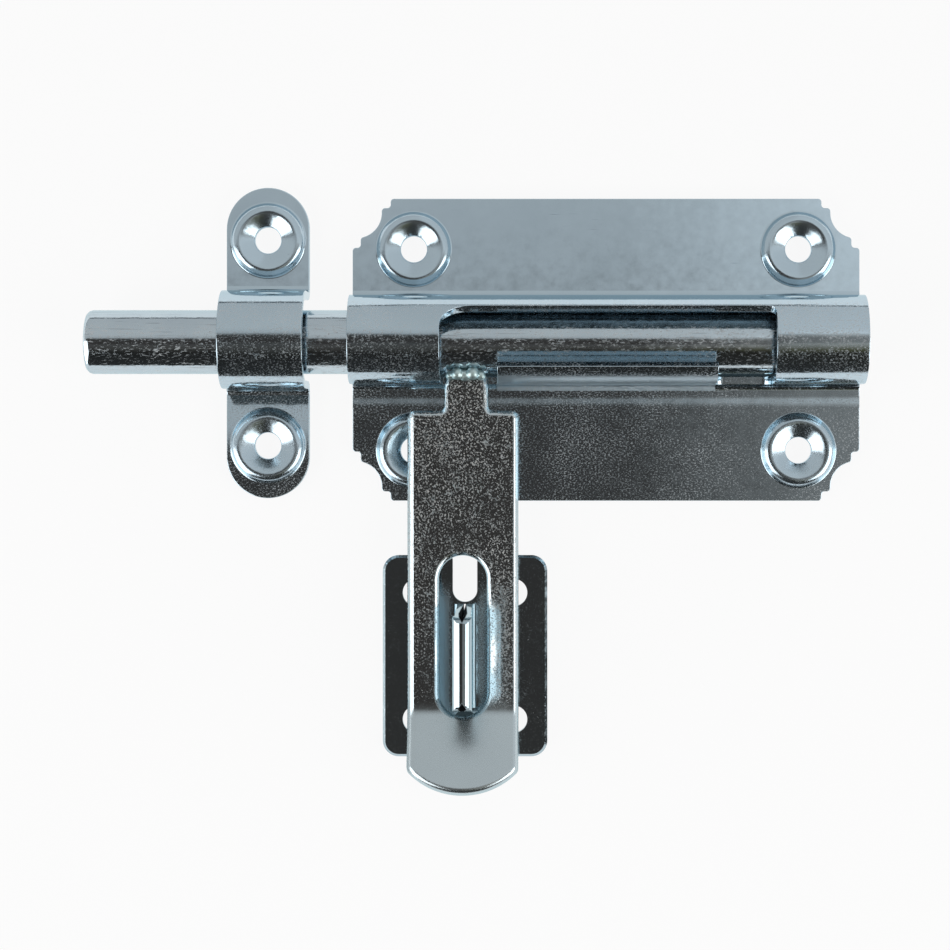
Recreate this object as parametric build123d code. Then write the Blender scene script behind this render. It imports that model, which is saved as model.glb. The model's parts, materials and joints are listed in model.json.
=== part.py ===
from build123d import *
import math
import os

# Padlockable door bolt, in millimetres, as it is mounted on an upright door.
# X runs along the rod, Z is up, and the door's face is the plane Y = 0 with the fittings on its -Y side.
# The origin is the middle of the back plate's four screw holes, on the door's face.

# Bolt rod
rod_diameter = 15.0
rod_length = 180.0
rod_end_round = 1.6
nose_reach = 61.8  # nose of the rod past the end of the back plate
rod_door_gap = 0.5
axis_rise = 1.6  # rod axis above the middle of the back plate

# Pressed sheet of the back plate and the keeper
sheet = 2.0
foot_bend = 1.5  # inside radius where a flange turns up into the barrel
barrel_rise = 0.5  # middle of the barrel and of the keeper's bow above the rod axis
barrel_clearance = 0.9  # beside the rod, about the barrel's own middle
barrel_lift = 4.5  # middle of the barrel's crown out past the rod axis

# Dished screw hole: a raised ring that falls back to the door at the hole
screw_hole = 6.2
dish_diameter = 17.7
dish_crest = 13.7  # diameter of the ring's highest line
dish_rise = 1.7
dish_crest_round = 1.6
dish_collar = 0.6  # flat sheet kept round the ring

# Back plate
plate_length = 120.0
plate_height = 71.5
plate_holes_x = 91.0
plate_holes_z = 47.6
corner_run = 9.0  # each corner has a step, a round bite and a second step
corner_drop = 11.6
corner_step_x = 1.9
corner_step_z = 2.2
corner_bite = 6.0
corner_bite_x = 0.9
corner_bite_z = 3.3
corner_round = 0.8  # on every corner of the steps and the bite

# Window in the barrel and the tongue under it
bridge_width = 21.25
tongue_length = 51.0
window_top_angle = 46.5  # above straight out, seen from the middle of the crown
tongue_top_angle = 38.8  # below straight out
window_left_corner_x = 7.5
window_left_corner_arc = 5.0
window_right_corner = 1.8
gap_sill = 4.25  # sheet left standing in the gaps beside the tongue
gap_corner = 2.0

# Keeper
keeper_width = 19.6
keeper_length = 73.5
keeper_holes = 48.6
keeper_gap = 10.2  # between the keeper and the back plate
keeper_clearance = 2.0  # beside the rod, about the bow's own middle
keeper_lift = 3.5  # middle of the bow's crown out past the rod axis

# Hasp
hasp_thickness = 3.0
hasp_width = 26.0
hasp_edge_round = 1.2
neck_top_width = 9.4
neck_root_width = 10.4
neck_side = 0.8  # neck to the right of the hasp's middle
neck_bridge_gap = 0.65
neck_rod_gap = 0.25
neck_root_round = 1.0
shoulder_drop = 16.1  # shoulders below the rod axis
shoulder_round = 1.8
slot_width = 11.2
slot_length = 37.8
slot_drop = 50.0  # top of the slot below the rod axis
bend_drop = 85.3  # start of the bend below the rod axis
bend_radius = 8.0
bend_angle = 22.0
tip_length = 17.4
tip_end_radius = 17.5
tip_corner_round = 1.6

# Staple plate, one sheet folded double into a fin
staple_sheet = 1.6
staple_width = 39.0
staple_height = 47.7
staple_corner = 3.8
staple_edge_break = 0.6
staple_hole = 6.5
staple_holes_x = 23.0
staple_holes_z = 30.0
staple_side = 0.3  # fin to the right of the slot's middle
fin_end_gap = 1.4  # fin to the lower end of the slot
fin_reach = 26.5
fin_base_length = 24.6
fin_crest_length = 21.4
fin_crest_corner = 2.6
fin_layer_gap = 0.4
fin_fold_void = 0.7  # radius left open inside the fold
fin_bend = 0.9
fin_foot = 0.3  # flat sheet beside each bend
fin_neck_round = 2.5
notch_width = 5.8
notch_mouth_round = 1.2
notch_web = 0.5  # sheet between the notch and the fin
eye_diameter = 10.0
eye_reach = 17.0

# Working values
round_steps = 3  # straight runs that make up a turned or pressed round
corner_steps = 6  # slices that make up a corner of the window
near = 0.01  # within this, a point counts as the one looked for
past = 1.0  # cutters reach this far past what they cut

# Sizes that follow from the ones above
rod_radius = rod_diameter / 2
axis_reach = rod_radius + rod_door_gap
barrel_inside = rod_radius + barrel_clearance
barrel_outside = barrel_inside + sheet
crown_reach = axis_reach + barrel_lift
crown_rise = axis_rise + barrel_rise
far = barrel_outside + crown_reach
window_half = plate_length / 2 - bridge_width
keeper_x = -plate_length / 2 - keeper_gap - keeper_width / 2
neck_x = -window_half + neck_bridge_gap + neck_root_width / 2
hasp_x = neck_x - neck_side
hasp_back = axis_reach - hasp_thickness / 2
hasp_front = axis_reach + hasp_thickness / 2
fin_half = staple_sheet + fin_layer_gap / 2
fin_foot_half = fin_half + fin_bend + fin_foot
slot_bottom = axis_rise - slot_drop - slot_length
staple_x = hasp_x + staple_side
staple_z = slot_bottom + fin_end_gap + fin_base_length / 2


def corners_at(sketch, x, y):
    place = Vector(x, y, 0)
    return [v for v in sketch.vertices() if (Vector(*v) - place).length < near]


def round_points(x, y, radius, start, end):
    # Points along a round about (x, y), from one direction to another in degrees
    turns = [math.radians(start + (end - start) * step / round_steps) for step in range(round_steps + 1)]
    return [(x + radius * math.cos(turn), y + radius * math.sin(turn)) for turn in turns]


def crown(radius):
    # Half disc on the side away from the door
    return Circle(radius) & Pos(-radius / 2, 0) * Rectangle(radius, 2 * radius)


def barrel_sheet(height, rise, length, half_room, reach):
    # Two flanges and the barrel between them, one sheet thick, drawn across the rod and drawn out along it
    half = half_room + sheet
    legs = Pos(-reach / 2, rise) * Rectangle(reach, 2 * half)
    outside = Pos(-sheet / 2, 0) * Rectangle(sheet, height) + legs
    outside += Pos(-reach, rise) * crown(half)
    for side in (-1, 1):
        outside = fillet(corners_at(outside, -sheet, rise + side * half), foot_bend)
    inside = Pos(-reach / 2, rise) * Rectangle(reach, 2 * half_room)
    inside += Pos(-reach, rise) * crown(half_room)
    section = outside - inside
    for side in (-1, 1):
        section = fillet(corners_at(section, 0, rise + side * half_room), foot_bend + sheet)
    return extrude(Plane.YZ * section, length / 2, both=True)


def crest_touch(x, y, side):
    # Direction in which a straight run from (x, y) touches the round of the ring's crest
    across = x - dish_crest / 2
    up = y - (sheet + dish_rise - dish_crest_round)
    lean = math.degrees(math.acos(dish_crest_round / math.hypot(across, up)))
    return math.degrees(math.atan2(up, across)) % 360 + side * lean


def dished_hole():
    # Ring profile from the hole outwards: rim, rounded crest, foot and a flat collar, one sheet thick
    hole = screw_hole / 2
    foot = dish_diameter / 2
    crest = dish_crest / 2
    collar = foot + dish_collar
    inner_touch = crest_touch(hole, sheet, -1)
    outer_touch = crest_touch(foot, sheet, 1) - 360
    height = sheet + dish_rise - dish_crest_round
    top = round_points(crest, height, dish_crest_round, inner_touch, outer_touch)
    front = [(hole, sheet), *top, (foot, sheet), (collar, sheet)]
    back = [(collar, 0), (foot, 0), (crest, dish_rise), (hole, 0)]
    across = Plane((0, 0, 0), x_dir=(1, 0, 0), z_dir=(0, 0, -1))
    return revolve(across * make_face(Polyline(*front, *back, close=True)), Axis.Y)


def press_dishes(plate, places):
    collar = dish_diameter / 2 + dish_collar
    blank = extrude(Plane.XZ * Circle(collar), sheet)
    dish = dished_hole()
    for x, z in places:
        plate = plate - Pos(x, 0, z) * blank + Pos(x, 0, z) * dish
    return plate


def wedge(low, high, x):
    # Slice between two directions from the middle of the crown, measured up from straight out, standing at x
    reach = 2 * far
    middle = (low + high) / 2
    spokes = [(low, reach), (middle, 2 * reach), (high, reach)]
    points = [(0, 0)]
    for angle, length in spokes:
        turn = math.radians(angle)
        points.append((-length * math.cos(turn), length * math.sin(turn)))
    across = Plane((x, -crown_reach, crown_rise), x_dir=(0, 1, 0), z_dir=(1, 0, 0))
    return across * make_face(Polyline(*points, close=True))


def window_end(side, corner_x, corner_arc):
    # End of the window, whose top edge comes down in a quarter ellipse on the curved sheet
    middle_radius = (barrel_inside + barrel_outside) / 2
    slices = []
    for step in range(corner_steps + 1):
        turn = math.radians(90 * step / corner_steps)
        x = window_half - corner_x + corner_x * math.sin(turn)
        drop = math.degrees(corner_arc * (1 - math.cos(turn)) / middle_radius)
        slices.append(wedge(-tongue_top_angle, window_top_angle - drop, side * x))
    return loft(slices, ruled=True)


def window_cut():
    left = -window_half + window_left_corner_x
    right = window_half - window_right_corner
    middle = extrude(wedge(-tongue_top_angle, window_top_angle, left), right - left, dir=(1, 0, 0))
    left_end = window_end(-1, window_left_corner_x, window_left_corner_arc)
    right_end = window_end(1, window_right_corner, window_right_corner)
    return middle + left_end + right_end


def gap_cut(side):
    # Room beside the tongue where the hasp's neck hangs down through the barrel, round at the sill on the right side
    start = tongue_length / 2
    width = window_half - start
    depth = barrel_outside + past
    block = Box(width, far - gap_sill + past, depth, align=(Align.CENTER, Align.MAX, Align.MAX))
    block = Pos(side * (start + width / 2), -gap_sill, axis_rise) * block
    if side < 0:
        return block
    sill_edges = block.edges().filter_by(Axis.Z).group_by(Axis.Y)[-1]
    return fillet(sill_edges, gap_corner)


def corner_cut():
    bite = Pos(corner_bite_x, corner_bite_z) * Circle(corner_bite)
    along = Pos(corner_run / 2, corner_step_z / 2) * Rectangle(corner_run, corner_step_z)
    down = Pos(corner_step_x / 2, corner_drop / 2) * Rectangle(corner_step_x, corner_drop)
    outline = Pos(-plate_length / 2, -plate_height / 2) * (bite + along + down)
    return extrude(Plane.XZ * outline, sheet)


def at_plate_corner(edge):
    run = plate_length / 2 - abs(edge.center().X)
    drop = plate_height / 2 - abs(edge.center().Z)
    return run < corner_run + near and drop < corner_drop + near


def back_plate():
    plate = barrel_sheet(plate_height, crown_rise, plate_length, barrel_inside, crown_reach)
    low_left = corner_cut()
    low_right = mirror(low_left, Plane.YZ)
    for corner in (low_left, low_right):
        plate = plate - corner - mirror(corner, Plane.XY)
    plate = fillet(plate.edges().filter_by(Axis.Y).filter_by(at_plate_corner), corner_round)
    plate -= window_cut()
    for side in (-1, 1):
        plate -= gap_cut(side)
    holes = [(x * plate_holes_x / 2, z * plate_holes_z / 2) for x in (-1, 1) for z in (-1, 1)]
    return press_dishes(plate, holes)


def keeper():
    half_room = rod_radius + keeper_clearance
    strap = barrel_sheet(keeper_length, barrel_rise, keeper_width, half_room, axis_reach + keeper_lift)
    outline = Plane.XZ * SlotOverall(keeper_length, keeper_width, rotation=90)
    strap &= extrude(outline, 2 * far)
    strap = press_dishes(strap, [(0, z * keeper_holes / 2) for z in (-1, 1)])
    return Pos(keeper_x, 0, axis_rise) * strap


def bolt_rod():
    # Half profile turned about the rod axis, with both ends rounded
    corner = rod_radius - rod_end_round
    nose = round_points(rod_end_round, corner, rod_end_round, 180, 90)
    tail = round_points(rod_length - rod_end_round, corner, rod_end_round, 90, 0)
    profile = make_face(Polyline((0, 0), *nose, *tail, (rod_length, 0), close=True))
    nose_x = -plate_length / 2 - nose_reach
    return Pos(nose_x, -axis_reach, axis_rise) * revolve(profile, Axis.X)


def hasp_blank():
    # Flat of the hasp with its neck, drawn about the hasp's middle line with the rod axis at height zero
    body_height = bend_drop - shoulder_drop
    body = Pos(0, -shoulder_drop - body_height / 2) * Rectangle(hasp_width, body_height)
    half_top = neck_top_width / 2
    half_root = neck_root_width / 2
    neck = make_face(
        Polyline(
            (neck_side - half_top, 0),
            (neck_side + half_top, 0),
            (neck_side + half_root, -shoulder_drop),
            (neck_side - half_root, -shoulder_drop),
            close=True,
        )
    )
    blank = body + neck
    for side in (-1, 1):
        root = corners_at(blank, neck_side + side * half_root, -shoulder_drop)
        blank = fillet(root, neck_root_round)
        blank = fillet(corners_at(blank, side * hasp_width / 2, -shoulder_drop), shoulder_round)
    return blank


def hasp_tip():
    # Tip before it is bent: a straight run that ends in a wide arc
    half = hasp_width / 2
    side_run = tip_length - tip_end_radius + math.sqrt(tip_end_radius**2 - half**2)
    sides = Polyline((-half, -side_run), (-half, 0), (half, 0), (half, -side_run))
    end = ThreePointArc((half, -side_run), (0, -tip_length), (-half, -side_run))
    tip = make_face([*sides.edges(), end])
    for side in (-1, 1):
        tip = fillet(corners_at(tip, side * half, -side_run), tip_corner_round)
    return Pos(0, -bend_drop) * tip


def hasp():
    face = Plane((hasp_x, -hasp_back, axis_rise), x_dir=(1, 0, 0), z_dir=(0, -1, 0))
    bend_z = axis_rise - bend_drop
    bend_axis = Axis((0, -hasp_front - bend_radius, bend_z), (-1, 0, 0))
    flat = extrude(face * hasp_blank(), hasp_thickness)
    tip = extrude(face * hasp_tip(), hasp_thickness).rotate(bend_axis, bend_angle)
    end = Plane((hasp_x, -axis_reach, bend_z), x_dir=(1, 0, 0), z_dir=(0, 0, 1))
    bend = revolve(end * Rectangle(hasp_width, hasp_thickness), bend_axis, bend_angle)
    strap = flat + bend + tip
    slot = SlotOverall(slot_length, slot_width, rotation=90)
    slot_place = Pos(0, -slot_drop - slot_length / 2)
    strap -= extrude(face * slot_place * slot, 2 * far, both=True)
    strap = roll_front_edges(strap, bend_axis, bend_z)
    saddle = Cylinder(rod_radius + neck_rod_gap, plate_length, rotation=(0, 90, 0))
    return strap - Pos(hasp_x, -axis_reach, axis_rise) * saddle


def roll_front_edges(strap, bend_axis, bend_z):
    # Edges of the outline and the slot on the front, which the punch leaves round
    pivot = bend_axis.position
    turn = math.radians(bend_angle)
    inward = Vector(0, math.cos(turn), -math.sin(turn))

    def on_front(point):
        spoke = point - pivot
        if point.Z >= bend_z - near:
            return abs(point.Y + hasp_front) < near
        if math.atan2(-spoke.Z, spoke.Y) <= turn:
            return abs(math.hypot(spoke.Y, spoke.Z) - bend_radius) < near
        return abs(spoke.dot(inward) - bend_radius) < near

    def is_rolled(edge):
        points = [edge @ 0, edge @ 0.5, edge @ 1]
        across = abs((edge % 0.5).X) > 1 - near
        at_neck_top = all(p.Z > axis_rise - rod_radius for p in points)
        at_bend = across and all((p - pivot).length < bend_radius + hasp_width for p in points)
        below_shoulder = (edge @ 0.5).Z < axis_rise - shoulder_drop - past
        return all(on_front(p) for p in points) and not at_neck_top and not (at_bend and below_shoulder)

    return fillet([edge for edge in strap.edges() if is_rolled(edge)], hasp_edge_round)


def fin_section():
    # Across the fin: two layers with a bulb at the fold, and a bend at each foot
    half = fin_half
    fold = fin_fold_void + staple_sheet
    fold_reach = fin_reach - fold
    outside = Pos(0, fold_reach / 2) * Rectangle(2 * half, fold_reach) + Pos(0, fold_reach) * Circle(fold)
    inside = Pos(0, fold_reach / 2) * Rectangle(fin_layer_gap, fold_reach)
    inside += Pos(0, fold_reach) * Circle(fin_fold_void)
    join = fold_reach - math.sqrt(fold**2 - half**2)
    for side in (-1, 1):
        outside = fillet(corners_at(outside, side * half, join), fin_neck_round)
    outside += Pos(0, staple_sheet / 2) * Rectangle(2 * fin_foot_half, staple_sheet)
    for side in (-1, 1):
        outside = fillet(corners_at(outside, side * half, staple_sheet), fin_bend)
    section = outside - inside
    for side in (-1, 1):
        root = corners_at(section, side * fin_layer_gap / 2, 0)
        section = fillet(root, fin_bend + staple_sheet / 2)
    return section


def fin():
    # Side view of the fin, a little shorter at the crest, cut from the folded section
    foot = fin_base_length / 2
    crest = fin_crest_length / 2
    lower_end = [(0, -foot), (staple_sheet, -foot), (fin_reach, -crest)]
    upper_end = [(fin_reach, crest), (staple_sheet, foot), (0, foot)]
    outline = make_face(Polyline(*lower_end, *upper_end, close=True))
    for side in (-1, 1):
        outline = fillet(corners_at(outline, fin_reach, side * crest), fin_crest_corner)
    outline -= Pos(eye_reach, 0) * Circle(eye_diameter / 2)
    from_side = Plane((0, 0, 0), x_dir=(0, -1, 0), z_dir=(-1, 0, 0))
    from_end = Plane((0, 0, -foot), x_dir=(-1, 0, 0), z_dir=(0, 0, 1))
    fold = extrude(from_end * fin_section(), fin_base_length)
    return fold & extrude(from_side * outline, fin_foot_half, both=True)


def notch():
    # Open slot from the plate's upper edge to the fin, round at the bottom and at both corners of its mouth
    half = notch_width / 2
    edge = staple_height / 2
    bottom = fin_base_length / 2 + notch_web
    run = edge - bottom - half
    outline = Pos(0, edge - run / 2) * Rectangle(notch_width, run)
    outline += Pos(0, bottom + half) * Circle(half)
    outline += Pos(0, edge + half) * Rectangle(2 * notch_width, notch_width)
    for side in (-1, 1):
        outline = fillet(corners_at(outline, side * half, edge), notch_mouth_round)
    return extrude(Plane.XZ * outline, staple_sheet)


def staple_flat():
    # Flat sheet with its front edges broken by the punch, notched at both ends of the fin
    flat = extrude(Plane.XZ * RectangleRounded(staple_width, staple_height, staple_corner), staple_sheet)
    flat = chamfer(flat.faces().sort_by(Axis.Y)[0].edges(), staple_edge_break)
    return flat - notch() - mirror(notch(), Plane.XY)


def staple_plate():
    strip = extrude(Plane.XZ * Rectangle(2 * fin_foot_half, fin_base_length), staple_sheet)
    plate = staple_flat() - strip + fin()
    for x in (-1, 1):
        for z in (-1, 1):
            place = Pos(x * staple_holes_x / 2, z * staple_holes_z / 2)
            plate -= extrude(Plane.XZ * place * Circle(staple_hole / 2), staple_sheet)
    return Pos(staple_x, 0, staple_z) * plate


os.makedirs("parts", exist_ok=True)
export_step(back_plate(), "parts/back_plate.step")
export_step(bolt_rod(), "parts/bolt_rod.step")
export_step(hasp(), "parts/hasp.step")
export_step(keeper(), "parts/keeper.step")
export_step(staple_plate(), "parts/staple_plate.step")
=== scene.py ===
import bpy
import json
import math
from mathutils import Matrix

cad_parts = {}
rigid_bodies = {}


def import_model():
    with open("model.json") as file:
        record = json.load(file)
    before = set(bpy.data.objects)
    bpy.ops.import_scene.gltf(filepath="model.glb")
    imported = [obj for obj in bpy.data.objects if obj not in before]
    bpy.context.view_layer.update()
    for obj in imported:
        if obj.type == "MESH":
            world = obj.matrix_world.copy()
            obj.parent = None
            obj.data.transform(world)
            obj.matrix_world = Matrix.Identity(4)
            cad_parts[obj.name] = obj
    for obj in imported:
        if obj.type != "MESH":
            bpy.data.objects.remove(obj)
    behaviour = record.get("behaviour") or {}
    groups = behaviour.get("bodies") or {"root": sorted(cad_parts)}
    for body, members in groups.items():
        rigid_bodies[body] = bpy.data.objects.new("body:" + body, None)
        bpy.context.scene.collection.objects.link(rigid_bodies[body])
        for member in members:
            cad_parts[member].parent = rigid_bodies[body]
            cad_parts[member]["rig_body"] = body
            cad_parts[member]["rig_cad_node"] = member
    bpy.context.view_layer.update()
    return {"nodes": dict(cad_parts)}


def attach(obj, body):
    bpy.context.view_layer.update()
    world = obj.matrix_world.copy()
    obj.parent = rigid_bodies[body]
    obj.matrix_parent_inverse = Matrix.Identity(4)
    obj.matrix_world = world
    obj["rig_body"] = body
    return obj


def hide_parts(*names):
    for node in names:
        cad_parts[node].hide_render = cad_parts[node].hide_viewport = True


# Padlockable door bolt in bright zinc plate: a sheet back plate and keeper, a round rod,
# a slotted hasp and a folded staple.
# X runs along the rod, Z is up the door, and the camera looks along +Y at the door's face.

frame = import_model()
mm = 0.001


# small helpers

def selectOnly(obj):
    if bpy.context.mode != "OBJECT":
        bpy.ops.object.mode_set(mode="OBJECT")
    bpy.ops.object.select_all(action="DESELECT")
    obj.select_set(True)
    bpy.context.view_layer.objects.active = obj


def applyModifier(obj, kind, name, **settings):
    modifier = obj.modifiers.new(name, kind)
    for key, value in settings.items():
        setattr(modifier, key, value)
    selectOnly(obj)
    bpy.ops.object.modifier_apply(modifier=name)


def deg(angle):
    return math.radians(angle)


def grey(value):
    return (value, value, value, 1)


def solid(tone):
    return (*tone, 1)


# node graph helpers: a source is another node's output, or a plain value

def addNode(tree, kind, place, values=None, **settings):
    node = tree.nodes.new(kind)
    node.location = place
    for key, value in settings.items():
        setattr(node, key, value)
    for socket, value in (values or {}).items():
        node.inputs[socket].default_value = value
    return node


def feed(tree, socket, source):
    if isinstance(source, bpy.types.NodeSocket):
        tree.links.new(source, socket)
    else:
        socket.default_value = source


def addMath(tree, place, operation, *sources):
    node = addNode(tree, "ShaderNodeMath", place, operation=operation)
    for socket, source in zip(node.inputs, sources):
        feed(tree, socket, source)
    return node.outputs["Value"]


def addVector(tree, place, operation, *sources):
    node = addNode(tree, "ShaderNodeVectorMath", place, operation=operation)
    for socket, source in zip(node.inputs, sources):
        feed(tree, socket, source)
    return node.outputs["Value" if operation in ("DISTANCE", "DOT_PRODUCT") else "Vector"]


def addCombine(tree, place, x, y, z):
    node = addNode(tree, "ShaderNodeCombineXYZ", place)
    for axis, source in (("X", x), ("Y", y), ("Z", z)):
        feed(tree, node.inputs[axis], source)
    return node.outputs["Vector"]


def addRange(tree, place, source, start, end, low=0.0, high=1.0, curve="LINEAR"):
    node = addNode(tree, "ShaderNodeMapRange", place, {"To Min": low, "To Max": high},
                   interpolation_type=curve)
    feed(tree, node.inputs["Value"], source)
    feed(tree, node.inputs["From Min"], start)
    feed(tree, node.inputs["From Max"], end)
    return node.outputs["Result"]


def addMix(tree, place, share, first, second):
    node = addNode(tree, "ShaderNodeMix", place, data_type="RGBA")
    factor, colourA, colourB, result = 0, 6, 7, 2  # a Mix node's sockets for colours
    feed(tree, node.inputs[factor], share)
    feed(tree, node.inputs[colourA], first)
    feed(tree, node.inputs[colourB], second)
    return node.outputs[result]


def addBlend(tree, place, share, first, second):
    node = addNode(tree, "ShaderNodeMixShader", place)
    for socket, source in zip(node.inputs, (share, first, second)):
        feed(tree, socket, source)
    return node.outputs["Shader"]


def addNoise(tree, place, vector, scale, **settings):
    values = {key.capitalize(): value for key, value in settings.items()}
    node = addNode(tree, "ShaderNodeTexNoise", place, values)
    feed(tree, node.inputs["Vector"], vector)
    feed(tree, node.inputs["Scale"], scale)
    return node


def addCoords(tree, place):
    return addNode(tree, "ShaderNodeTexCoord", place).outputs["Object"]


def addSplit(tree, place, vector):
    node = addNode(tree, "ShaderNodeSeparateXYZ", place)
    feed(tree, node.inputs["Vector"], vector)
    return node.outputs


def setRamp(node, stops):
    ramp = node.color_ramp
    while len(ramp.elements) > 1:
        ramp.elements.remove(ramp.elements[-1])
    ramp.elements[0].position, ramp.elements[0].color = stops[0]
    for place, colour in stops[1:]:
        ramp.elements.new(place).color = colour


def addSpan(tree, split, place, ramps):
    # a patch of a surface, in millimetres: each ramp names an axis, where the patch starts
    # and where it is full
    left, top = place
    span = None
    for row, (axis, start, end) in enumerate(ramps):
        ramp = addRange(tree, (left, top - 40 * row), split[axis], start * mm, end * mm, curve="SMOOTHSTEP")
        span = addMath(tree, (left + 200, top - 40 * row), "MULTIPLY", span, ramp) if span else ramp
    return span


def addPatches(tree, split, place, patches):
    # the sum of several patches, each with its own amount
    left, top = place
    total = 0.0
    for row, (amount, ramps) in enumerate(patches):
        span = addSpan(tree, split, (left, top - 250 * row), ramps)
        total = addMath(tree, (left + 450, top - 250 * row), "MULTIPLY_ADD", span, amount, total)
    return total


heightSpan = {"foot": -100, "top": 50}  # millimetres up the piece that a height ramp covers


def addHeightRamp(tree, split, place, stops):
    # a value that changes with height on the piece, from pairs of millimetres and value
    foot, top = heightSpan["foot"], heightSpan["top"]
    share = addRange(tree, place, split["Z"], foot * mm, top * mm)
    ramp = addNode(tree, "ShaderNodeValToRGB", (place[0] + 200, place[1]))
    setRamp(ramp, [((height - foot) / (top - foot), grey(value)) for height, value in stops])
    feed(tree, ramp.inputs["Fac"], share)
    return ramp.outputs["Color"]


# shared effects of zinc plate, as node groups

def newGroup(name, inputs, outputs):
    tree = bpy.data.node_groups.new(name, "ShaderNodeTree")
    for socket, default in inputs.items():
        made = tree.interface.new_socket(socket, in_out="INPUT", socket_type="NodeSocketFloat")
        made.default_value = default
    for socket in outputs:
        kind = "NodeSocketVector" if socket == "Normal" else "NodeSocketFloat"
        tree.interface.new_socket(socket, in_out="OUTPUT", socket_type=kind)
    entry = addNode(tree, "NodeGroupInput", (-1100, 0))
    leave = addNode(tree, "NodeGroupOutput", (900, 0))
    return tree, entry.outputs, leave.inputs


def addGroup(tree, group, place, **values):
    inputs = {key.capitalize(): value for key, value in values.items()}
    return addNode(tree, "ShaderNodeGroup", place, inputs, node_tree=group)


def makeGrainGroup():
    # crystals of the plating: fine flecks that scatter more light than the skin, and a few crooked rubs
    fleckFade, rubMiddle, rubEdge, rubCore = 0.14, 0.5, 0.03, 0.005
    patchSize, patchFrom, patchFull = 190.0, 0.46, 0.58
    inputs = {"Size": 2200.0, "Along": 2200.0, "Cut": 0.54, "Rub": 420.0}
    tree, entry, leave = newGroup("zincGrain", inputs, ["Fleck", "Rub"])
    coords = addCoords(tree, (-1100, 300))
    scale = addCombine(tree, (-1100, 600), entry["Along"], entry["Size"], entry["Size"])
    drawn = addVector(tree, (-950, 450), "MULTIPLY", coords, scale)
    fine = addNoise(tree, (-800, 300), drawn, 1.0, detail=3.0, roughness=0.7)
    full = addMath(tree, (-700, 500), "ADD", entry["Cut"], fleckFade)
    feed(tree, leave["Fleck"], addRange(tree, (-500, 300), fine.outputs["Fac"], entry["Cut"], full))
    crooked = addNoise(tree, (-800, 0), coords, entry["Rub"], detail=1.0, distortion=1.2)
    away = addMath(tree, (-550, 0), "SUBTRACT", crooked.outputs["Fac"], rubMiddle)
    near = addMath(tree, (-350, 0), "ABSOLUTE", away)
    thin = addRange(tree, (-150, 0), near, rubEdge, rubCore)
    patchy = addNoise(tree, (-800, -300), coords, patchSize, detail=2.0)
    some = addRange(tree, (-350, -300), patchy.outputs["Fac"], patchFrom, patchFull)
    feed(tree, leave["Rub"], addMath(tree, (100, -100), "MULTIPLY", thin, some))
    return tree


def makeSkinGroup():
    # the skin's direction: a faint ripple all over, and a lean sideways or upwards where the sheet
    # is drawn or bent
    inputs = {"Size": 400.0, "Ripple": 0.02, "Sideways": 0.0, "Upwards": 0.0}
    tree, entry, leave = newGroup("zincSkin", inputs, ["Normal"])
    coords = addCoords(tree, (-1100, 300))
    ripples = addNoise(tree, (-800, 300), coords, entry["Size"], detail=3.0, roughness=0.6)
    way = addVector(tree, (-550, 300), "SUBTRACT", ripples.outputs["Color"], (0.5, 0.5, 0.5))
    amount = addCombine(tree, (-550, 100), entry["Ripple"], entry["Ripple"], entry["Ripple"])
    rippled = addVector(tree, (-300, 300), "MULTIPLY", way, amount)
    lean = addCombine(tree, (-550, -100), entry["Sideways"], 0.0, entry["Upwards"])
    both = addVector(tree, (-100, 150), "ADD", rippled, lean)
    turned = addNode(tree, "ShaderNodeVectorTransform", (100, 150), vector_type="VECTOR",
                     convert_from="OBJECT", convert_to="WORLD")
    feed(tree, turned.inputs["Vector"], both)
    geometry = addNode(tree, "ShaderNodeNewGeometry", (100, 450))
    tipped = addVector(tree, (350, 300), "ADD", geometry.outputs["Normal"], turned.outputs["Vector"])
    feed(tree, leave["Normal"], addVector(tree, (600, 300), "NORMALIZE", tipped))
    return tree


def makeScratchGroup():
    # drawn streaks and handling scratches, thin along one direction of the piece
    scratchFade = 0.08
    tree, entry, leave = newGroup("drawScratches", {"Along": 60.0, "Across": 2600.0, "Cut": 0.62}, ["Mask"])
    scale = addCombine(tree, (-800, 50), entry["Along"], entry["Across"], entry["Across"])
    stretch = addVector(tree, (-650, 200), "MULTIPLY", addCoords(tree, (-900, 300)), scale)
    streak = addNoise(tree, (-400, 200), stretch, 1.0, detail=3.0, roughness=0.6)
    full = addMath(tree, (-150, 0), "ADD", entry["Cut"], scratchFade)
    feed(tree, leave["Mask"], addRange(tree, (100, 200), streak.outputs["Fac"], entry["Cut"], full))
    return tree


def makeCloudGroup():
    # slow changes of tone over a surface
    tree, entry, leave = newGroup("plateClouds", {"Size": 90.0}, ["Value"])
    coords = addCoords(tree, (-900, 300))
    cloud = addNoise(tree, (-500, 200), coords, entry["Size"], detail=4.0, roughness=0.55)
    feed(tree, leave["Value"], cloud.outputs["Fac"])
    return tree


grainGroup = makeGrainGroup()
skinGroup = makeSkinGroup()
scratchGroup = makeScratchGroup()
cloudGroup = makeCloudGroup()


# zinc materials

# painted shade in the open ends of the fold: it darkens only the fold itself, which stands in front of the
# plate
foldEndShade = {"tone": (0.008, 0.009, 0.01), "from": -3 * mm, "full": -4 * mm, "rim": 1.0, "core": 0.75}
dishSkin = {"fade": 1 * mm, "flecks": 0.3, "satin": 0.12}
cloudDrift = {"from": 0.35, "to": 0.65, "low": 0.6, "high": 1.3}  # how the flecks come and go


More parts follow.
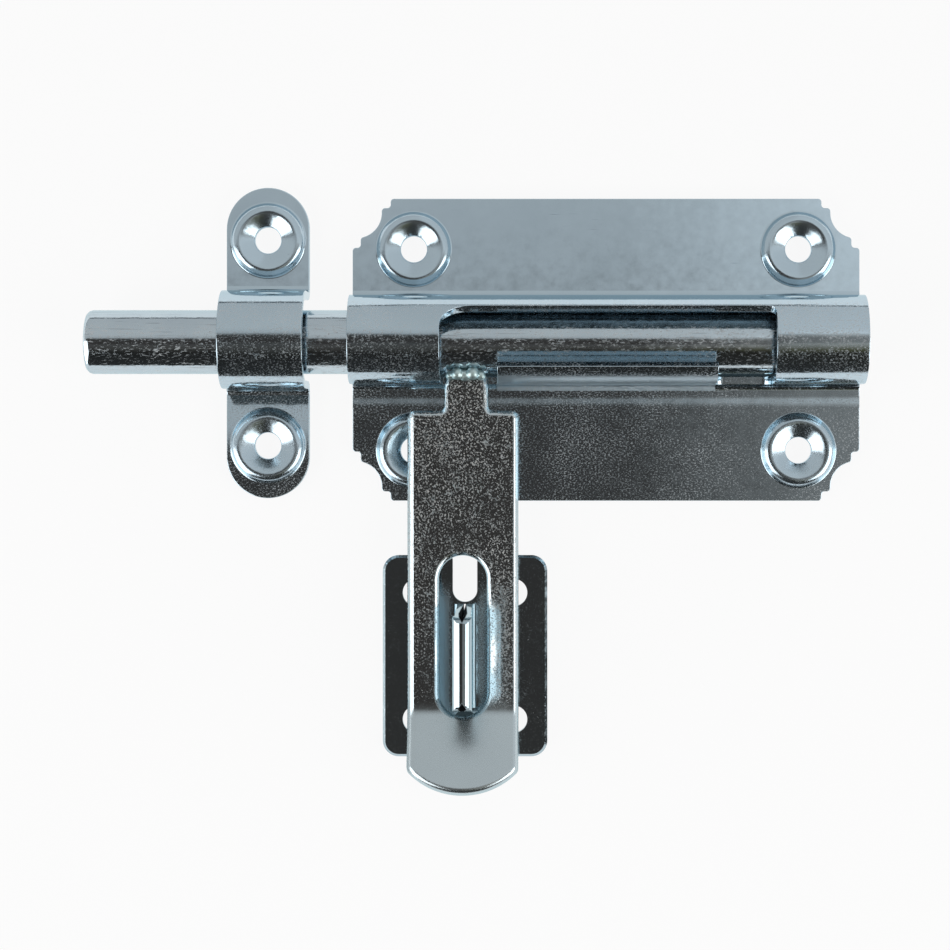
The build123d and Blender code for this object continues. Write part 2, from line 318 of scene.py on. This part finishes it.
def addDishGap(tree, split, dish):
    # distance to the nearest screw hole: holes lie at plus and minus x, and as far above
    # as below a middle height
    reach = addMath(tree, (-1500, 250), "ABSOLUTE", split["X"])
    level = addMath(tree, (-1650, 400), "SUBTRACT", split["Z"], dish["middle"])
    rise = addMath(tree, (-1500, 400), "ABSOLUTE", level)
    flat = addCombine(tree, (-1300, 250), reach, 0.0, rise)
    return addVector(tree, (-1100, 750), "DISTANCE", flat, (dish["x"], 0, dish["half"]))


def addFoldEndShade(tree, coords, split, foldShadeSpots):
    # painted shade: the two open ends of the fold, where the hollow lies in shade, coloured as dark diamonds
    # at the ends of its crest
    deepShade = 0.0
    for row, (x, z, wide, tall) in enumerate(foldShadeSpots):
        height = 900 - 200 * row
        place = addVector(tree, (-700, height), "SUBTRACT", coords, (x, 0, z))
        shape = addVector(tree, (-550, height), "MULTIPLY", place, (1 / wide, 0, 1 / tall))
        size = addVector(tree, (-400, height), "ABSOLUTE", shape)
        ring = addVector(tree, (-250, height), "DOT_PRODUCT", size, (1, 0, 1))
        voidShade = addRange(tree, (-100, height), ring, foldEndShade["rim"], foldEndShade["core"])
        deepShade = addMath(tree, (100, height), "MAXIMUM", deepShade, voidShade)
    crest = addRange(tree, (100, 500), split["Y"], foldEndShade["from"], foldEndShade["full"])
    return addMath(tree, (300, 700), "MULTIPLY", deepShade, crest)


def makeZinc(name, finish):
    material = bpy.data.materials.new(name)
    material.use_nodes = True
    tree = material.node_tree
    shader = tree.nodes["Principled BSDF"].inputs
    shader["Metallic"].default_value = 1.0
    shader["Specular Tint"].default_value = solid(finish["edgeTone"])
    coords = addCoords(tree, (-1900, 0))
    split = addSplit(tree, (-1700, 0), coords)
    grain = addGroup(tree, grainGroup, (-1100, 0), size=finish["grainSize"], along=finish["grainAlong"],
                     cut=finish["grainCut"], rub=finish["rubSize"])
    clouds = addGroup(tree, cloudGroup, (-1100, 500), size=finish["cloudSize"])
    scratches = addGroup(tree, scratchGroup, (-1100, 250), along=finish["scratchAlong"],
                         across=finish["scratchAcross"], cut=finish["scratchCut"])

    # roughness: the bright skin, plus flecks where the crystals are coarse, plus rubs and duller drawn metal
    coarse = addHeightRamp(tree, split, (-1500, -250), finish["grainBy"])
    drift = addRange(tree, (-1100, -250), clouds.outputs["Value"], cloudDrift["from"], cloudDrift["to"],
                     cloudDrift["low"], cloudDrift["high"])
    amount = addMath(tree, (-950, -100), "MULTIPLY", coarse, drift)
    flecks = addMath(tree, (-800, 50), "MULTIPLY", grain.outputs["Fleck"], amount)
    satin = hollowShade = None
    if "dish" in finish:  # the pressed dishes round the holes have fewer flecks and a satin skin
        gap = addDishGap(tree, split, finish["dish"])
        inner = finish["dish"]["radius"]
        outer = inner + dishSkin["fade"]
        outside = addRange(tree, (-900, 750), gap, inner, outer, dishSkin["flecks"], 1.0)
        satin = addRange(tree, (-900, 1000), gap, inner, outer, dishSkin["satin"], 0.0)
        flecks = addMath(tree, (-650, 50), "MULTIPLY", flecks, outside)
    rubs = addHeightRamp(tree, split, (-1500, -400), finish["rubBy"])
    rubbed = addMath(tree, (-800, -150), "MULTIPLY", grain.outputs["Rub"], rubs)
    dull = addMath(tree, (-450, 0), "ADD", flecks, rubbed)
    gloss = addMath(tree, (-250, 0), "ADD", dull, addHeightRamp(tree, split, (-700, -250), finish["glossBy"]))
    if "blurs" in finish:
        drawn = addPatches(tree, split, (-1500, -2600), finish["blurs"])
        gloss = addMath(tree, (-100, -100), "ADD", gloss, drawn)
    if satin:
        gloss = addMath(tree, (50, -200), "ADD", gloss, satin)
    if "foldShadeSpots" in finish:
        hollowShade = addFoldEndShade(tree, coords, split, finish["foldShadeSpots"])
        gloss = addMath(tree, (600, 100), "MAXIMUM", gloss, hollowShade)
    feed(tree, shader["Roughness"], gloss)

    # colour: drifting tone, scratches, fresh flecks, painted shade in the fold ends
    tone = addMix(tree, (-800, 400), clouds.outputs["Value"], solid(finish["darkTone"]),
                  solid(finish["lightTone"]))
    tone = addMix(tree, (-550, 400), scratches.outputs["Mask"], tone, solid(finish["scratchTone"]))
    tone = addMix(tree, (-300, 400), flecks, tone, solid(finish["fleckTone"]))
    # painted shade: the fold's open ends are coloured almost black
    if hollowShade:
        tone = addMix(tree, (500, 500), hollowShade, tone, solid(foldEndShade["tone"]))
    feed(tree, shader["Base Color"], tone)

    # direction of the skin: ripple, bends and drawn edges
    skin = addGroup(tree, skinGroup, (-700, -500), size=finish["rippleSize"], ripple=finish["ripple"])
    for row, way in enumerate(("sideways", "upwards")):
        if way in finish:
            lean = addPatches(tree, split, (-1500, -600 - 1000 * row), finish[way])
            feed(tree, skin.inputs[way.capitalize()], lean)
    feed(tree, shader["Normal"], skin.outputs["Normal"])
    return material


# finish of each kind of steel: "By" lists pair millimetres up the piece with a value;
# sideways, upwards and blurs are lists of patches

def evenly(value):
    return [(heightSpan["foot"], value), (heightSpan["top"], value)]


plateFinish = {"rubSize": 420.0, "rippleSize": 420.0, "fleckTone": (0.688, 0.654, 0.628)}

tongueSides = [("X", -25.9, -25.7), ("X", 25.9, 25.7)]
flangeLean = (0.09, [("Z", 12.5, 13.5)])  # the upper flange springs back a little from the door

sheetFinish = dict(plateFinish, **{
    "grainSize": 3000.0, "grainAlong": 2200.0, "grainCut": 0.5,
    "grainBy": [(-100, 0.42), (-11, 0.42), (-9, 0.4), (9, 0.4), (12, 0.02), (50, 0.02)],
    "rubBy": [(-100, 0.05), (-10, 0.05), (-9, 0.16), (9, 0.16), (12, 0.0), (50, 0.0)],
    "glossBy": evenly(0.07), "dish": {"x": 45.5 * mm, "middle": 0.0, "half": 23.8 * mm, "radius": 8.4 * mm},
    "ripple": 0.03,
    "upwards": [flangeLean,
                (0.085, [("Z", -14.2, -12.4), ("Z", -10.6, -11.8)]),  # bend line under the barrel
                (0.28, tongueSides + [("Z", -9.6, -9.2), ("Z", -4.5, -4.7)])],  # steep tongue
    "blurs": [(0.3, tongueSides + [("Z", -9.9, -9.6), ("Z", -4.7, -7.5)])],
    "cloudSize": 70.0, "darkTone": (0.482, 0.593, 0.662), "lightTone": (0.568, 0.688, 0.765),
    "edgeTone": (0.84, 0.92, 0.94), "scratchTone": (0.378, 0.464, 0.533),
    "scratchAlong": 90.0, "scratchAcross": 2200.0, "scratchCut": 0.7,
})

keeperFinish = dict(sheetFinish, **{
    "dish": {"x": 80 * mm, "middle": 1.6 * mm, "half": 24.3 * mm, "radius": 8.4 * mm},
    "upwards": [flangeLean, (0.15, [("Z", -34, -14), ("Z", -9.2, -9.6)])],
})

barFinish = dict(plateFinish, **{
    "grainSize": 2400.0, "grainAlong": 1000.0, "grainCut": 0.52,
    "grainBy": [(-100, 0.46), (4.5, 0.46), (6, 0.12), (50, 0.12)],
    "rubSize": 480.0, "rubBy": evenly(0.22), "glossBy": evenly(0.08), "rippleSize": 500.0, "ripple": 0.06,
    "cloudSize": 110.0, "darkTone": (0.499, 0.585, 0.645), "lightTone": (0.602, 0.697, 0.748),
    "edgeTone": (0.8, 0.9, 0.92), "scratchTone": (0.344, 0.396, 0.43),
    "scratchAlong": 70.0, "scratchAcross": 2600.0, "scratchCut": 0.6,
})

beadFinish = dict(barFinish, **{
    "grainBy": evenly(0.0), "rubBy": evenly(0.0), "glossBy": evenly(0.42),
    "darkTone": (0.533, 0.671, 0.671), "lightTone": (0.619, 0.757, 0.748),
})

channelEnds = [("Z", -53, -63), ("Z", -89, -84)]  # the sheet beside the fold, drawn up towards it
channelDull = [("Z", -53, -60), ("Z", -89, -85)]

stapleShadedFinish = dict(plateFinish, **{
    # x, z, half width and half height of the painted shade at each open end of the fold
    "foldShadeSpots": [(-33.4 * mm, -61.3 * mm, 1.15 * mm, 1.9 * mm), (-33.4 * mm, -82.6 * mm, 1.15 * mm, 1.7 * mm)],
    "grainSize": 2300.0, "grainAlong": 2300.0, "grainCut": 0.54, "grainBy": evenly(0.16),
    "rubBy": evenly(0.08), "glossBy": evenly(0.06), "ripple": 0.03,
    "sideways": [(-0.2, [("X", -36, -40.8), ("X", -44, -42)] + channelEnds),
                 (0.06, [("X", -30.6, -27.5), ("X", -24, -25)] + channelEnds)],
    "blurs": [(0.25, [("X", -36, -37.5), ("X", -43, -41.5)] + channelDull),
              (0.2, [("X", -30.8, -29.5), ("X", -24, -25.5)] + channelDull)],
    # painted shade: the staple's tones are darker than the other sheet's, for the hasp that stands in front
    # of it
    "cloudSize": 60.0, "darkTone": (0.413, 0.516, 0.568), "lightTone": (0.516, 0.619, 0.671),
    "edgeTone": (0.75, 0.86, 0.88), "scratchTone": (0.344, 0.413, 0.447),
    "scratchAlong": 500.0, "scratchAcross": 900.0, "scratchCut": 0.7,
})

haspFinish = dict(plateFinish, **{
    "grainSize": 2500.0, "grainAlong": 2500.0, "grainCut": 0.53,
    "grainBy": [(-100, 0.05), (-84, 0.05), (-81, 0.62), (-60, 0.6), (-30, 0.85), (-14, 0.85),
                (-10, 0.98), (50, 0.98)],
    "rubBy": [(-100, 0.0), (-84, 0.0), (-81, 0.25), (50, 0.25)],
    "glossBy": [(-100, 0.26), (-85, 0.26), (-82, 0.07), (50, 0.07)], "ripple": 0.04,
    "sideways": [(-0.9, [("X", -44.5, -46.5)]), (0.7, [("X", -22.2, -20.7)]),  # rolled long edges
                 # rolled into the slot
                 (-0.42, [("X", -22.8, -27.3), ("X", -34, -33), ("Z", -55, -63), ("Z", -85, -80)])],
    "blurs": [(0.15, [("X", -21.5, -24), ("X", -34, -33), ("Z", -53, -60), ("Z", -86, -82)])],
    "cloudSize": 60.0, "darkTone": (0.516, 0.593, 0.628), "lightTone": (0.602, 0.688, 0.722),
    "edgeTone": (0.75, 0.86, 0.88), "scratchTone": (0.361, 0.413, 0.447),
    "scratchAlong": 500.0, "scratchAcross": 900.0, "scratchCut": 0.7,
})

zincSheet = makeZinc("zincSheet", sheetFinish)
zincKeeper = makeZinc("zincKeeper", keeperFinish)
zincBar = makeZinc("zincBar", barFinish)
zincBead = makeZinc("zincBead", beadFinish)
zincStapleShaded = makeZinc("zincStapleShaded", stapleShadedFinish)
zincHasp = makeZinc("zincHasp", haspFinish)
print("zinc finishes ready")


# dressed copies of the steel pieces, with softened cut edges

steelPieces = {
    "backPlate": {"node": "back_plate", "body": "door_fittings", "slot": "zinc_sheet",
                  "finish": zincSheet, "edge": 0.3 * mm},
    "keeperStrap": {"node": "keeper", "body": "door_fittings", "slot": "zinc_sheet",
                    "finish": zincKeeper, "edge": 0.3 * mm},
    "staplePlate": {"node": "staple_plate", "body": "door_fittings", "slot": "zinc_sheet",
                    "finish": zincStapleShaded, "edge": 0.2 * mm},
    "boltRod": {"node": "bolt_rod", "body": "sliding_rod", "slot": "zinc_bar",
                "finish": zincBar, "edge": 0.0},
    "haspStrap": {"node": "hasp", "body": "swinging_hasp", "slot": "zinc_strap",
                  "finish": zincHasp, "edge": 0.25 * mm},
}
dressing = {"mergeWithin": 0.002 * mm, "flatWithin": 0.3, "bevelOver": 50, "smoothUnder": 38,
            "faceWeight": 80}  # a distance, three angles in degrees and a weight


def dressPiece(name, piece):
    source = frame["nodes"][piece["node"]]
    selectOnly(source)
    bpy.ops.object.duplicate()
    copy = bpy.context.view_layer.objects.active
    copy.name = name
    copy.parent = None
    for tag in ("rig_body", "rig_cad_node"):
        if tag in copy:
            del copy[tag]
    selectOnly(copy)
    bpy.ops.mesh.customdata_custom_splitnormals_clear()
    bpy.ops.object.mode_set(mode="EDIT")
    bpy.ops.mesh.select_all(action="SELECT")
    bpy.ops.mesh.remove_doubles(threshold=dressing["mergeWithin"])
    bpy.ops.mesh.dissolve_limited(angle_limit=deg(dressing["flatWithin"]))
    bpy.ops.mesh.normals_make_consistent(inside=False)
    bpy.ops.object.mode_set(mode="OBJECT")
    if piece["edge"]:
        applyModifier(copy, "BEVEL", "cutEdges", width=piece["edge"], segments=2, limit_method="ANGLE",
                      angle_limit=deg(dressing["bevelOver"]), use_clamp_overlap=True, harden_normals=False)
    selectOnly(copy)
    bpy.ops.object.shade_smooth_by_angle(angle=deg(dressing["smoothUnder"]))
    applyModifier(copy, "WEIGHTED_NORMAL", "flatFaces", keep_sharp=True, weight=dressing["faceWeight"])
    copy.data.materials.clear()
    copy.data.materials.append(piece["finish"])
    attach(copy, piece["body"])
    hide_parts(piece["node"])


for pieceName, piece in steelPieces.items():
    dressPiece(pieceName, piece)
print("dressed", len(steelPieces), "steel pieces")


# weld bead that joins the hasp's neck to the underside of the rod, laid along the corner between them

weldBead = {
    "axisY": -8.0 * mm, "axisZ": 1.6 * mm, "spread": 8.75 * mm, "stretch": 1.1,
    "grid": 0.16 * mm, "smoothing": 7,
    # along the rod in millimetres, degrees below straight out, radius in millimetres
    "lumps": [(-36.6, 63, 1.05), (-35.0, 59, 1.35), (-33.2, 63, 1.3), (-31.3, 58, 1.45), (-29.4, 64, 1.1)],
}


def makeWeldBead():
    bpy.ops.object.select_all(action="DESELECT")
    lumps = []
    for x, drop, radius in weldBead["lumps"]:
        place = (x * mm, weldBead["axisY"] - weldBead["spread"] * math.cos(deg(drop)),
                 weldBead["axisZ"] - weldBead["spread"] * math.sin(deg(drop)))
        bpy.ops.mesh.primitive_uv_sphere_add(segments=20, ring_count=12, radius=radius * mm, location=place)
        bpy.ops.transform.resize(value=(weldBead["stretch"], 1, 1))
        lumps.append(bpy.context.view_layer.objects.active)
    bpy.ops.object.select_all(action="DESELECT")
    for lump in lumps:
        lump.select_set(True)
    bpy.ops.object.join()
    bead = bpy.context.view_layer.objects.active
    bead.name = "weldBead"
    bpy.ops.object.transform_apply(location=True, rotation=True, scale=True)
    applyModifier(bead, "REMESH", "oneSkin", mode="VOXEL", voxel_size=weldBead["grid"])
    applyModifier(bead, "SMOOTH", "runTogether", factor=0.5, iterations=weldBead["smoothing"])
    selectOnly(bead)
    bpy.ops.object.shade_smooth()
    bead.data.materials.clear()
    bead.data.materials.append(zincBead)
    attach(bead, "swinging_hasp")


makeWeldBead()
print("weld bead laid")


# studio: a pale floor standing behind the part, a banded surround and soft lamps

paleFloor = {
    "size": 0.25, "behind": 0.0015, "middle": (-0.02, -0.035), "matt": 0.8,
    "glow": 0.9,  # share of plain white; the rest is lit, so the part's shadow stays
    "shade": (0.012, 0.024, 0.03),
    # painted shade: dark tones in the floor's glow close behind the barrel and behind the staple's fold
    "patches": [(1, [("X", -50, -49), ("X", 50, 49), ("Z", -8.5, -7.5), ("Z", 11.5, 10.5)]),
                (1, [("X", -39.5, -38.5), ("X", -28, -29), ("Z", -92, -91), ("Z", -61, -62)])],
}


def makeFloor():
    bpy.ops.object.select_all(action="DESELECT")
    x, z = paleFloor["middle"]
    bpy.ops.mesh.primitive_plane_add(size=paleFloor["size"], rotation=(deg(90), 0, 0),
                                     location=(x, paleFloor["behind"], z))
    floor = bpy.context.view_layer.objects.active
    floor.name = "paleFloor"
    material = bpy.data.materials.new("paleFloor")
    material.use_nodes = True
    tree = material.node_tree
    tree.nodes.remove(tree.nodes["Principled BSDF"])
    path = addNode(tree, "ShaderNodeLightPath", (-900, 300)).outputs
    geometry = addNode(tree, "ShaderNodeNewGeometry", (-900, -300)).outputs
    seen = addMath(tree, (-650, 300), "MAXIMUM", path["Is Camera Ray"], path["Is Glossy Ray"])
    shown = addMath(tree, (-450, 300), "MAXIMUM", seen, path["Is Transmission Ray"])
    kept = addMath(tree, (-300, 300), "MULTIPLY", shown, paleFloor["glow"])
    matt = addNode(tree, "ShaderNodeBsdfDiffuse", (-450, 50), {"Color": grey(paleFloor["matt"])})
    glow = addNode(tree, "ShaderNodeEmission", (-450, -100), {"Strength": 1.0})
    split = addSplit(tree, (-1500, -100), geometry["Position"])
    # painted shade on the floor's white glow behind the barrel and the fold
    shade = addPatches(tree, split, (-1300, 200), paleFloor["patches"])
    feed(tree, glow.inputs["Color"], addMix(tree, (-650, -150), shade, grey(1.0), solid(paleFloor["shade"])))
    clear = addNode(tree, "ShaderNodeBsdfTransparent", (-200, -250))
    front = addBlend(tree, (-200, 100), kept, matt.outputs["BSDF"], glow.outputs["Emission"])
    both = addBlend(tree, (50, 50), geometry["Backfacing"], front, clear.outputs["BSDF"])  # clear from behind
    feed(tree, tree.nodes["Material Output"].inputs["Surface"], both)
    floor.data.materials.append(material)


makeFloor()

# tone of the studio by height angle, seen from the part: 0 is straight out at the camera, 90 overhead
white = (1, 1, 1)
under = [(-180, white), (-101, white), (-97, (0.035, 0.035, 0.035))]
darkLine = (0.07, 0.081, 0.093)
behind = [(93.5, darkLine), (97, darkLine), (98.5, white), (180, white)]
leftFront, rightFront = (0.05, 0.044, 0.041), (0.256, 0.244, 0.233)
surround = {
    "left": under + [
        (-50, (0.023, 0.022, 0.021)), (-38, (0.023, 0.021, 0.019)), (-24, (0.07, 0.064, 0.058)),
        (-12, (0.087, 0.081, 0.077)), (-8.5, leftFront), (3, leftFront), (9, (0.081, 0.077, 0.072)),
        (14, (0.523, 0.529, 0.535)), (24, (0.593, 0.599, 0.599)), (85, (0.558, 0.564, 0.57)),
        (92.5, (0.581, 0.587, 0.593))] + behind,
    "right": under + [
        (-38, (0.023, 0.021, 0.016)), (-28, (0.116, 0.109, 0.064)), (-14, (0.419, 0.401, 0.372)),
        (-9, rightFront), (3, rightFront), (9, (0.465, 0.448, 0.43)), (14, (0.791, 0.802, 0.814)),
        (24, (0.674, 0.686, 0.698)), (85, (0.64, 0.651, 0.663)), (92.5, (0.651, 0.663, 0.674))] + behind,
    "change": (0.035, 0.115),  # where left goes over into right, by the direction's X
}


def makeSurround():
    world = bpy.data.worlds.new("studio")
    bpy.context.scene.world = world
    world.use_nodes = True
    tree = world.node_tree
    tree.nodes.clear()
    coords = addNode(tree, "ShaderNodeTexCoord", (-1300, 0)).outputs["Generated"]
    split = addSplit(tree, (-1100, 0), coords)
    out = addMath(tree, (-900, -100), "MULTIPLY", split["Y"], -1.0)
    height = addMath(tree, (-700, 0), "ARCTAN2", split["Z"], out)
    share = addRange(tree, (-500, 0), height, -math.pi, math.pi)
    across = addRange(tree, (-500, 250), split["X"], *surround["change"])
    sides = []
    for row, side in enumerate(("left", "right")):
        ramp = addNode(tree, "ShaderNodeValToRGB", (-300, -250 * row))
        setRamp(ramp, [((angle + 180) / 360, solid(tone)) for angle, tone in surround[side]])
        feed(tree, ramp.inputs["Fac"], share)
        sides.append(ramp.outputs["Color"])
    around = addNode(tree, "ShaderNodeBackground", (50, 0))
    feed(tree, around.inputs["Color"], addMix(tree, (-50, 0), across, *sides))
    plain = addNode(tree, "ShaderNodeBackground", (50, -150), {"Color": grey(1.0), "Strength": 1.0})
    path = addNode(tree, "ShaderNodeLightPath", (-250, 300)).outputs
    mixed = addBlend(tree, (300, 0), path["Is Camera Ray"], around.outputs["Background"],
                     plain.outputs["Background"])
    feed(tree, addNode(tree, "ShaderNodeOutputWorld", (500, 0)).inputs["Surface"], mixed)


makeSurround()

softLamps = {  # where each lamp stands round the part, in degrees, how far, its size and its power
    "lowLeft": {"side": -70, "height": -23, "away": 0.9, "size": (1.35, 0.8), "power": 8.4},
    "lowRight": {"side": 57, "height": -23, "away": 0.9, "size": (0.8, 0.8), "power": 4.9},
}


def makeLamp(name, lamp):
    side, height, away = deg(lamp["side"]), deg(lamp["height"]), lamp["away"]
    level = away * math.cos(height)
    place = (level * math.sin(side), -level * math.cos(side), away * math.sin(height))
    bpy.ops.object.light_add(type="AREA", location=place, rotation=(deg(90) - height, 0, side))
    light = bpy.context.view_layer.objects.active
    light.name = name
    light.data.shape = "RECTANGLE"
    light.data.size, light.data.size_y = lamp["size"]
    light.data.energy = lamp["power"]


for lampName, lamp in softLamps.items():
    makeLamp(lampName, lamp)

photoCamera = {"focalPx": 2649.0, "framePx": 950.0, "centrePx": (541.0, 430.0), "sensor": 36.0,
               "away": 0.629, "overX": -0.0154, "overZ": -0.019, "clip": (0.01, 20.0)}


def makeCamera():
    place = (photoCamera["overX"], -photoCamera["away"], photoCamera["overZ"])
    bpy.ops.object.camera_add(location=place, rotation=(deg(90), 0, 0))
    camera = bpy.context.view_layer.objects.active
    camera.name = "photoCamera"
    lens = camera.data
    framePx = photoCamera["framePx"]
    lens.sensor_width = photoCamera["sensor"]
    lens.lens = photoCamera["focalPx"] / framePx * lens.sensor_width
    lens.shift_x = (framePx / 2 - photoCamera["centrePx"][0]) / framePx
    lens.shift_y = (photoCamera["centrePx"][1] - framePx / 2) / framePx
    lens.clip_start, lens.clip_end = photoCamera["clip"]
    bpy.context.scene.camera = camera


makeCamera()
bpy.context.scene.view_settings.view_transform = "Standard"
print("studio ready")
